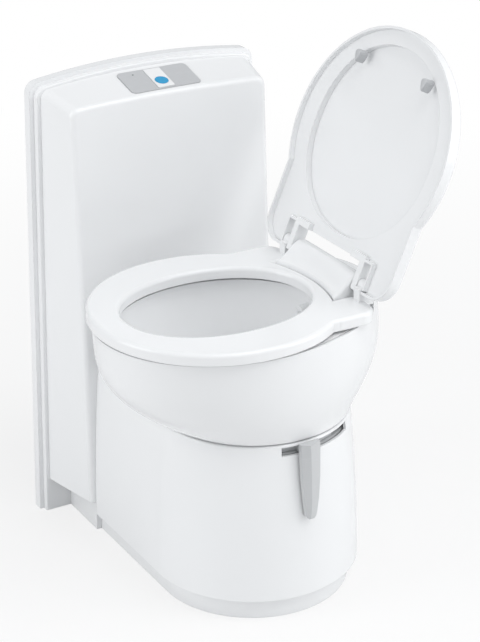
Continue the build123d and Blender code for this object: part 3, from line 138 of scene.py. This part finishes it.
# %% Shader maths as expressions
class Wire:
    """One output socket of a material, with the usual signs of arithmetic."""

    def __init__(self, tree, socket):
        self.tree = tree
        self.socket = socket

    def _math(self, operation, *others):
        node = self.tree.nodes.new("ShaderNodeMath")
        node.operation = operation
        for place, value in enumerate((self, *others)):
            feed(self.tree, node.inputs[place], value)
        return Wire(self.tree, node.outputs[0])

    def __add__(self, other):
        return self._math("ADD", other)

    def __radd__(self, other):
        return self._math("ADD", other)

    def __sub__(self, other):
        return self._math("SUBTRACT", other)

    def __rsub__(self, other):
        return (self * -1.0)._math("ADD", other)

    def __mul__(self, other):
        return self._math("MULTIPLY", other)

    def __rmul__(self, other):
        return self._math("MULTIPLY", other)

    def clamp(self):
        node = self.tree.nodes.new("ShaderNodeClamp")
        feed(self.tree, node.inputs[0], self)
        return Wire(self.tree, node.outputs[0])

    def step(self, low, high):
        """0 below low, 1 above high, smooth between."""
        node = self.tree.nodes.new("ShaderNodeMapRange")
        node.interpolation_type = "SMOOTHSTEP"
        for place, value in enumerate((self, low, high, 0.0, 1.0)):
            feed(self.tree, node.inputs[place], value)
        return Wire(self.tree, node.outputs[0])


def feed(tree, socket, value):
    """Links a Wire to a socket, or sets a plain value on it."""
    if isinstance(value, Wire):
        tree.links.new(value.socket, socket)
    else:
        socket.default_value = value


class Finish:
    """A material being written: its nodes, its shader and the maths between them."""

    def __init__(self, name):
        self.material = bpy.data.materials.new(name)
        self.material.use_nodes = True
        self.tree = self.material.node_tree
        self.shader = self.tree.nodes["Principled BSDF"]
        self.place = self.node("ShaderNodeTexCoord")["Object"]

    def node(self, kind, settings=(), **inputs):
        """Adds a node and returns its outputs by name; spaces in socket names are written _."""
        made = self.tree.nodes.new(kind)
        for key, value in dict(settings).items():
            setattr(made, key, value)
        for key, value in inputs.items():
            feed(self.tree, made.inputs[key.replace("_", " ")], value)
        return {socket.name: Wire(self.tree, socket) for socket in made.outputs if socket.enabled}

    def noise(self, scale, detail=3.0, stretch=(1, 1, 1)):
        """Cloudy noise from 0 to 1 over the piece, at so many cells a metre."""
        at = self.node("ShaderNodeMapping", Vector=self.place, Scale=stretch)["Vector"]
        return self.node("ShaderNodeTexNoise", Vector=at, Scale=scale, Detail=detail)["Fac"]

    def cells(self, scale):
        """Distance to the nearest of many scattered points, for a sparked or grained skin."""
        return self.node("ShaderNodeTexVoronoi", Vector=self.place, Scale=scale)["Distance"]

    def mix(self, factor, first, second):
        """A colour between two, as factor goes from 0 to 1."""
        node = self.tree.nodes.new("ShaderNodeMix")
        node.data_type = "RGBA"
        feed(self.tree, node.inputs[0], factor)
        feed(self.tree, node.inputs[6], rgba(first))
        feed(self.tree, node.inputs[7], rgba(second))
        return Wire(self.tree, node.outputs[2])

    def bump(self, height, distance, edge=0.0012):
        """Turns a height from 0 to 1 into a relief of so many metres, on softly broken edges."""
        broken = self.node("ShaderNodeBevel", {"samples": 6}, Radius=edge)["Normal"]
        made = self.node(
            "ShaderNodeBump", Height=height, Strength=1.0, Distance=distance, Normal=broken
        )
        self.set(Normal=made["Normal"])

    def set(self, **inputs):
        for key, value in inputs.items():
            feed(self.tree, self.shader.inputs[key.replace("_", " ")], value)


def rgba(colour):
    """A colour with its alpha, or the Wire as it is."""
    return colour if isinstance(colour, Wire) else (*colour, 1.0)


# %% [markdown]
# Nearly all of the object is one glossy white plastic, moulded against polished steel.
# Real gloss plastic is never optically flat: thick walls sink a little and leave slow waves.
# Its white drifts a little from place to place, and handling leaves it slightly duller.
# No moulded edge is knife sharp either, so the shader breaks every edge by about a millimetre.

# %% Glossy white plastic
def gloss_plastic(name, colour, roughness, sink=0.00016):
    """Moulded gloss: slow sink waves, faint drift of the white, faint handling marks."""
    made = Finish(name)
    drift = made.noise(5.0, 2.0)
    handling = made.noise(22.0, 4.0).step(0.45, 0.85)
    waves = made.noise(13.0, 1.0)
    darker = tuple(part * 0.97 for part in colour)
    made.set(Base_Color=made.mix(drift, colour, darker))
    made.set(Roughness=roughness + handling * 0.05)
    made.set(Coat_Weight=0.25, Coat_Roughness=0.12, IOR=1.49)
    made.bump(waves, sink)
    return made.material


GLOSSY = {
    "white_gloss": ((0.885, 0.892, 0.900), 0.20),
    "button_blue": ((0.012, 0.33, 0.62), 0.20),
    "lamp_clear": ((0.30, 0.34, 0.33), 0.12),
}
finishes = {slot: gloss_plastic(slot, *values) for slot, values in GLOSSY.items()}
print("glossy finishes:", len(GLOSSY))

# %% [markdown]
# The lever, the panel and the tank are satin parts, moulded in a spark eroded tool.
# That tool leaves tiny round pits, which scatter light and make the colour look even.
# Close cells of a Voronoi pattern with a little noise are a good likeness of such pits.

# %% Satin and textured plastics
def satin_plastic(name, colour, roughness, pits=1400.0, depth=0.00002, scuff=0.12):
    """Spark textured plastic: pits from cells, with paler scuffs on a cloudy mask."""
    made = Finish(name)
    pitted = made.cells(pits)
    cloud = made.noise(14.0, 4.0)
    worn = made.noise(60.0, 6.0, (1, 1, 3)).step(0.55, 0.8)
    paler = tuple(min(1.0, part * 1.25 + 0.02) for part in colour)
    darker = tuple(part * 0.9 for part in colour)
    base = made.mix(cloud, colour, darker)
    made.set(Base_Color=made.mix(worn * scuff, base, paler))
    made.set(Roughness=roughness + cloud * 0.08 - worn * 0.06, IOR=1.48)
    made.bump(pitted + cloud * 0.6, depth)
    return made.material


SATIN = {
    "grey_satin": ((0.56, 0.57, 0.585), 0.38),
    "lever_grey": ((0.60, 0.61, 0.62), 0.36),
    "tank_grey": ((0.30, 0.31, 0.32), 0.55, 700.0, 0.00005),
    "tank_dark": ((0.030, 0.031, 0.034), 0.42, 900.0, 0.00003),
}
finishes.update({slot: satin_plastic(slot, *values) for slot, values in SATIN.items()})
print("satin finishes:", len(SATIN))

# %% [markdown]
# Rubber is dull and dark, with a dusty bloom. Steel pins are drawn, so their grain runs long.
# The circuit board shows its copper tracks as faint lines under a green lacquer.
# Each of these is a small graph of its own, made for the scale of the piece it sits on.

# %% Rubber, steel and the circuit board
def rubber(name, colour):
    """Dull rubber with a pale bloom of dust."""
    made = Finish(name)
    bloom = made.noise(120.0, 6.0)
    made.set(Base_Color=made.mix(bloom.step(0.4, 0.9), colour, tuple(c + 0.05 for c in colour)))
    made.set(Roughness=0.62 + bloom * 0.2, IOR=1.5)
    made.bump(bloom, 0.00004)
    return made.material


def steel(name, colour):
    """Drawn stainless steel: long fine scratches along X and Y, darker in cloudy blotches."""
    made = Finish(name)
    drawn = made.noise(2600.0, 2.0, (0.04, 0.04, 1.0))
    blotch = made.noise(45.0, 3.0)
    made.set(Base_Color=made.mix(blotch, colour, tuple(c * 0.85 for c in colour)), Metallic=1.0)
    made.set(Roughness=0.24 + drawn * 0.18)
    made.bump(drawn, 0.000008)
    return made.material


def circuit_board(name, colour):
    """Green lacquer over tracks, which a coarse brick pattern stands for."""
    made = Finish(name)
    tracks = made.node(
        "ShaderNodeTexBrick",
        {"offset": 0.35},
        Vector=made.place,
        Color1=(1, 1, 1, 1),
        Color2=(0.9, 0.9, 0.9, 1),
        Mortar=(0, 0, 0, 1),
        Scale=160.0,
        Mortar_Size=0.03,
    )["Fac"]
    lines = tracks.clamp()
    made.set(Base_Color=made.mix(lines, colour, (0.16, 0.42, 0.20)))
    made.set(Roughness=0.35 + made.noise(300.0) * 0.1)
    made.bump(lines, 0.00003)
    return made.material


finishes["seal_rubber"] = rubber("seal_rubber", (0.022, 0.022, 0.023))
finishes["hose_rubber"] = rubber("hose_rubber", (0.050, 0.052, 0.056))
finishes["board_green"] = circuit_board("board_green", (0.02, 0.13, 0.045))
finishes["steel"] = steel("steel", (0.62, 0.62, 0.63))
print("all finishes:", len(finishes))

# %% [markdown]
# The record names a finish for each CAD piece, so that each piece looks as what it is made of.
# The CAD shapes are right for most pieces: those stay, and only take their finish here.
# A finish reads the place on the object, so neighbours of one white share its slow drift.

# %% Finishes on the CAD pieces
slot_of = {part["node"]: part["material_slot"] for part in frame["record"]["subparts"]}


def dress(thing, slot):
    """Gives a piece the finish of one of the record's slots."""
    thing.data.materials.clear()
    thing.data.materials.append(finishes[slot])


for name, thing in nodes.items():
    dress(thing, slot_of[name])
print("pieces dressed:", len(nodes))

# %% [markdown]
# The next pieces are made new, because their real shape is softer than the CAD solid's.
# Each is a grid of points: a row is one closed outline, and the rows follow one another.
# Joining neighbours gives four sided faces, and the first and last rows are closed by caps.
# A subdivided box would need more handwork, and its outline couldn't be given as a formula.

# %% A surface from a grid of points
def face_up(mesh):
    """Turns all faces of a closed mesh outwards."""
    work = bmesh.new()
    work.from_mesh(mesh)
    bmesh.ops.recalc_face_normals(work, faces=work.faces)
    work.to_mesh(mesh)
    work.free()


def skin(name, grid, body, slot, sharp=35.0):
    """A closed piece from rings: grid[i, j] is point j of ring i, and both ends are capped."""
    rings, around, _ = grid.shape
    first = np.arange(rings - 1)[:, None] * around
    here = np.arange(around)[None, :]
    after = (here + 1) % around
    quads = np.stack(
        [first + here, first + after, first + around + after, first + around + here], axis=-1
    )
    faces = quads.reshape(-1, 4).tolist()
    faces.append(list(range(around))[::-1])
    faces.append(list(range((rings - 1) * around, rings * around)))
    mesh = bpy.data.meshes.new(name)
    mesh.from_pydata(grid.reshape(-1, 3).tolist(), [], faces)
    mesh.update()
    face_up(mesh)
    mesh.shade_smooth()
    mesh.set_sharp_from_angle(angle=math.radians(sharp))
    piece = bpy.data.objects.new(name, mesh)
    scene.collection.objects.link(piece)
    dress(piece, slot)
    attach(piece, body)
    print(name, "faces:", len(mesh.polygons))
    return piece


print("shapes can now be made from grids")

# %% [markdown]
# The hinge block is a smooth saddle: it starts low along the seat's round back edge,
# swells up to a ridge over the hinge pins and falls away steeply behind them.
# It could be carved from a box with bevels, but a saddle has no straight edge to bevel.
# So one profile is worked out for every station across the block, and the stations are joined.

# %% Hinge block
BLOCK_HALF = 84.0
BLOCK_FOOT = 457.0
BLOCK_FRONT_TOP = 485.0
RIDGE_AT = (134.0, 511.0)
BLOCK_BACK = 152.0
SEAT_ARC = (-142.0, 248.9)
END_ROUND = 7.0
SKIN_GAP = 0.2
BACK_GAP = 0.3
CORNER_SHARE = 0.06
CORNER_DROP = 3.0
BACK_FALL = 14.0


def hinge_block_grid(stations=60, along=36, behind=14):
    """Station y runs from end to end. The front edge is x = c + sqrt(r r - y y), the arc of the
    seat. From there the top is z = low + rise s s (3 - 2 s), then a quarter ellipse falls to the
    back. Near the ends every height above the foot sinks by a quarter circle."""
    turn = np.linspace(-math.pi / 2, math.pi / 2, stations)
    half = BLOCK_HALF - SKIN_GAP
    y = half * np.sin(turn)
    front = SEAT_ARC[0] + np.sqrt(SEAT_ARC[1] ** 2 - y**2) + SKIN_GAP
    s = np.linspace(0.0, 1.0, along)
    climb = s * s * (3 - 2 * s)
    corner = np.sqrt(1 - (1 - np.clip(s / CORNER_SHARE, 0, 1)) ** 2)
    x_top = front[:, None] + (RIDGE_AT[0] - front[:, None]) * s[None, :]
    z_top = BLOCK_FRONT_TOP - CORNER_DROP * (1 - corner)
    z_top = z_top + (RIDGE_AT[1] - BLOCK_FRONT_TOP) * climb
    z_top = np.broadcast_to(z_top, x_top.shape)
    q = np.linspace(0.0, math.pi / 2, behind)[1:]
    x_back = RIDGE_AT[0] + (BLOCK_BACK - BACK_GAP - RIDGE_AT[0]) * np.sin(q)
    z_back = RIDGE_AT[1] - BACK_FALL * (1 - np.cos(q))
    x_back = np.broadcast_to(x_back, (stations, len(q)))
    z_back = np.broadcast_to(z_back, (stations, len(q)))
    x = np.concatenate([front[:, None], x_top, x_back, x_back[:, -1:]], axis=1)
    z = np.concatenate(
        [np.full((stations, 1), BLOCK_FOOT), z_top, z_back, np.full((stations, 1), BLOCK_FOOT)],
        axis=1,
    )
    over = np.clip((np.abs(y) - (half - END_ROUND)) / END_ROUND, 0, 1)
    sink = END_ROUND * (1 - np.sqrt(1 - over**2))
    share = np.clip((z - BLOCK_FOOT) / (BLOCK_FRONT_TOP - BLOCK_FOOT), 0, 1)
    z = z - sink[:, None] * share
    return np.stack([x, np.broadcast_to(y[:, None], x.shape), z], axis=-1) * MM


block = skin("hinge_block_cover", hinge_block_grid(), "bowl", "white_gloss", 50.0)
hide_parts("hinge_block")

# %% [markdown]
# The lever is a stiff wedge with two flat faces that meet in a ridge left of its middle.
# A ridge keeps a thin paddle from bending when it is pushed, and gives the fingers a hold.
# The wedge is a lofted outline: seven columns of points per level, from the tip to the top.
# The ring that it turns on shows only in its slot, so three plain sectors are enough for it.

# %% Wedge of the lever
LEVER_LEVELS = np.array([172.3, 176.0, 184.0, 205.0, 240.0, 285.0, 296.6])
LEVER_LEFT = np.array([-2.0, -5.5, -7.4, -9.6, -12.2, -13.2, -13.2])
LEVER_RIDGE = np.array([1.0, -0.5, -1.0, -1.0, -1.0, -1.0, -1.0])
LEVER_RIGHT = np.array([7.0, 10.5, 12.6, 16.4, 19.4, 20.6, 20.6])
RIDGE_PROUD = np.array([0.6, 3.0, 5.5, 7.5, 8.5, 8.5, 7.5])
EDGE_PROUD = 0.5
BACK_PROUD = -7.0
RIDGE_SOFT = 0.12
RIDGE_SOFT_HALF = 0.5
PADDLE_RADII = (173.0, 165.0)
PADDLE_SPAN = (170.0, 297.0)


def lever_wedge_grid():
    """At each level the paddle's face is a circle of radius r(z). The wedge is the triangle from
    its left edge over the ridge, which stands proud of the circle, to its right edge."""
    share = (LEVER_LEVELS - PADDLE_SPAN[0]) / (PADDLE_SPAN[1] - PADDLE_SPAN[0])
    radius = PADDLE_RADII[0] + (PADDLE_RADII[1] - PADDLE_RADII[0]) * share
    columns = (
        (LEVER_LEFT, BACK_PROUD),
        (LEVER_LEFT, EDGE_PROUD),
        (LEVER_RIDGE - RIDGE_SOFT_HALF, RIDGE_PROUD - RIDGE_SOFT),
        (LEVER_RIDGE, RIDGE_PROUD),
        (LEVER_RIDGE + RIDGE_SOFT_HALF, RIDGE_PROUD - RIDGE_SOFT),
        (LEVER_RIGHT, EDGE_PROUD),
        (LEVER_RIGHT, BACK_PROUD),
    )
    points = [
        np.stack([x, -np.sqrt(radius**2 - x**2) - proud, LEVER_LEVELS], axis=-1)
        for x, proud in columns
    ]
    return np.stack(points, axis=1) * MM


wedge = skin("lever_wedge", lever_wedge_grid(), "lever", "lever_grey", 12.0)
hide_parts("valve_lever")

# %% [markdown]
# Through the slot beside the paddle one sees the ring that it is moulded to.
# A bent bar is a rectangle carried round the pedestal's axis, so its grid is a single formula.

# %% Ring, neck and leg of the lever
def sector_grid(radii, angles, levels, steps=24):
    """A bent bar: the rectangle of two radii and two levels, carried about the Z axis
    from one angle to the other, with 0 degrees towards the front."""
    turn = np.radians(np.linspace(*angles, steps) - 90.0)[:, None]
    radius = np.array([radii[0], radii[1], radii[1], radii[0]])[None, :]
    level = np.array([levels[0], levels[0], levels[1], levels[1]])[None, :]
    flat = [radius * np.cos(turn), radius * np.sin(turn), level + 0 * turn]
    return np.stack(flat, axis=-1) * MM


LEVER_SECTORS = {
    "lever_ring": ((119.0, 142.0), (-24.0, 27.0), (278.3, 287.0)),
    "lever_neck": ((141.5, 161.0), (-3.0, 6.0), (278.3, 287.0)),
    "lever_leg": ((119.0, 123.7), (-22.0, 5.0), (229.3, 278.8)),
}
for name, (radii, angles, levels) in LEVER_SECTORS.items():
    bar = skin(name, sector_grid(radii, angles, levels), "lever", "lever_grey", 30.0)
    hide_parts("valve_lever")

# %% [markdown]
# Two pale wedges on the inside of the lid land on the seat when the lid is shut.
# They are wide towards the lid's free end and run out to a point towards the hinge.
# Their shape is drawn for a shut lid, and then swung open about the hinge with it.

# %% Lid bumpers
LID_OPEN = math.radians(113.0)
HINGE_AT = np.array([134.0, 0.0, 500.0])


def swing_open(points, angle=LID_OPEN):
    """Turns points about the hinge line by the lid's angle: free end up and over."""
    rel = points - HINGE_AT
    c, s = math.cos(angle), math.sin(angle)
    turned = np.stack(
        [c * rel[..., 0] + s * rel[..., 2], rel[..., 1], -s * rel[..., 0] + c * rel[..., 2]],
        axis=-1,
    )
    return turned + HINGE_AT


BUMPER_X = -180.0
BUMPER_POINT = 15.0
BUMPER_BLUNT = 5.5
BUMPER_HALF = 7.0
POINT_FULLNESS = 0.35
BUMPER_RINGS = ((497.0, 1.0), (483.5, 0.96), (481.6, 0.88), (480.6, 0.66))


def bumper_grid(centre_y, steps=24):
    """A drop shape in plan, a circle whose rear half is drawn out to a point; three rings
    give it a foot in the lid, a flank and a slightly smaller, rounded landing face."""
    t = np.linspace(0, 2 * math.pi, steps, endpoint=False)
    pointed = np.cos(t) > 0
    along = np.where(pointed, BUMPER_POINT, BUMPER_BLUNT) * np.cos(t)
    narrow = np.where(pointed, (1 - np.cos(t)) ** POINT_FULLNESS, 1.0)
    across = BUMPER_HALF * np.sin(t) * narrow
    rings = [
        np.stack([BUMPER_X + along * size, centre_y + across * size, np.full(steps, z)], axis=-1)
        for z, size in BUMPER_RINGS
    ]
    return swing_open(np.stack(rings)) * MM


for name, y in (("lid_bumper_left", -87.0), ("lid_bumper_right", 87.0)):
    pad = skin(name, bumper_grid(y), "lid", "grey_satin", 40.0)
    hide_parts("lid_bumpers")

# %% [markdown]
# The floor is plain white paper, as in a product photograph.
# Near the object it keeps the soft shadow, and further off it fades into the white background.
# Only what the camera sees of it is whitened, so that it throws no more light on the object.

# %% Floor
FLOOR_REACH = 9.0
PAPER_GLOW = 0.72
PAPER_NEAR = 0.7
PAPER_FAR = 2.4
floor_mesh = bpy.data.meshes.new("floor")
corners = [(x * FLOOR_REACH, y * FLOOR_REACH, 0.0) for x, y in ((-1, -1), (1, -1), (1, 1), (-1, 1))]
floor_mesh.from_pydata(corners, [], [(0, 1, 2, 3)])
floor = bpy.data.objects.new("floor", floor_mesh)
scene.collection.objects.link(floor)
floor_finish = Finish("floor_paper")
floor_finish.set(Base_Color=(0.86, 0.86, 0.86, 1), Roughness=0.9)
glow = floor_finish.node("ShaderNodeEmission", Color=(1, 1, 1, 1), Strength=1.0)["Emission"]
light_path = floor_finish.node("ShaderNodeLightPath")
blend_node = floor_finish.tree.nodes.new("ShaderNodeMixShader")
away = floor_finish.node("ShaderNodeVectorMath", {"operation": "LENGTH"}, Vector=floor_finish.place)
share = away["Value"].step(PAPER_NEAR, PAPER_FAR) * (1 - PAPER_GLOW) + PAPER_GLOW
feed(floor_finish.tree, blend_node.inputs[0], light_path["Is Camera Ray"] * share)
floor_finish.tree.links.new(floor_finish.shader.outputs[0], blend_node.inputs[1])
floor_finish.tree.links.new(glow.socket, blend_node.inputs[2])
output = floor_finish.tree.nodes["Material Output"]
floor_finish.tree.links.new(blend_node.outputs[0], output.inputs["Surface"])
floor.data.materials.append(floor_finish.material)
print("floor in metres:", 2 * FLOOR_REACH)

# %% [markdown]
# Standard colour handling shows a colour as it was written, so white plastic stays white.

# %% Colour handling
scene.view_settings.view_transform = "Standard"
